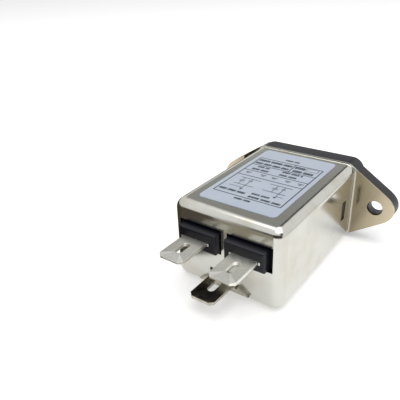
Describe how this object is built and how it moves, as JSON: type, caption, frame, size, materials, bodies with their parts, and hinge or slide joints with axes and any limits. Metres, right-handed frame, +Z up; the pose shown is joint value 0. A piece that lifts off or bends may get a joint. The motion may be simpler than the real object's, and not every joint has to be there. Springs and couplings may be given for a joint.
{
  "type": "EMI line filter",
  "caption": "Panel-mounted EMI line filter: drawn nickel-plated can with an eared flange, C14 inlet at the front and blade tabs at the rear.",
  "frame": {"origin": "middle of the flange's rear face, where it meets the panel, halfway between the two screw holes", "axes": "+X along the flange, +Y from the flange along the can to the tabs, +Z up through the label; the socket opens toward -Y"},
  "size_m": [0.0488, 0.055, 0.021],
  "materials": {
    "can_nickel": "satin",
    "housing_black": "satin",
    "insulator_black": "satin",
    "pin_nickel": "polished",
    "tab_tin": "satin",
    "earth_tin": "satin",
    "label_film": "satin",
    "core_coat": "satin",
    "divider_nylon": "matte",
    "enamel_wire": "gloss",
    "film_cap": "gloss",
    "disc_cap": "satin",
    "resistor_coat": "satin",
    "strap_tin": "satin",
    "liner_sheet": "matte"
  },
  "bodies": {
    "root": {"can": "can_nickel", "inlet_housing": "housing_black", "line_pin": "pin_nickel", "neutral_pin": "pin_nickel", "earth_pin": "pin_nickel", "line_insulator": "insulator_black", "neutral_insulator": "insulator_black", "line_tab": "tab_tin", "neutral_tab": "tab_tin", "earth_terminal": "earth_tin", "rating_label": "label_film", "choke_core": "core_coat", "choke_divider": "divider_nylon", "line_winding": "enamel_wire", "neutral_winding": "enamel_wire", "x_capacitor": "film_cap", "line_y_capacitor": "disc_cap", "neutral_y_capacitor": "disc_cap", "bleed_resistor": "resistor_coat", "earth_strap": "strap_tin", "insulating_liner": "liner_sheet"}
  },
  "joints": []
}
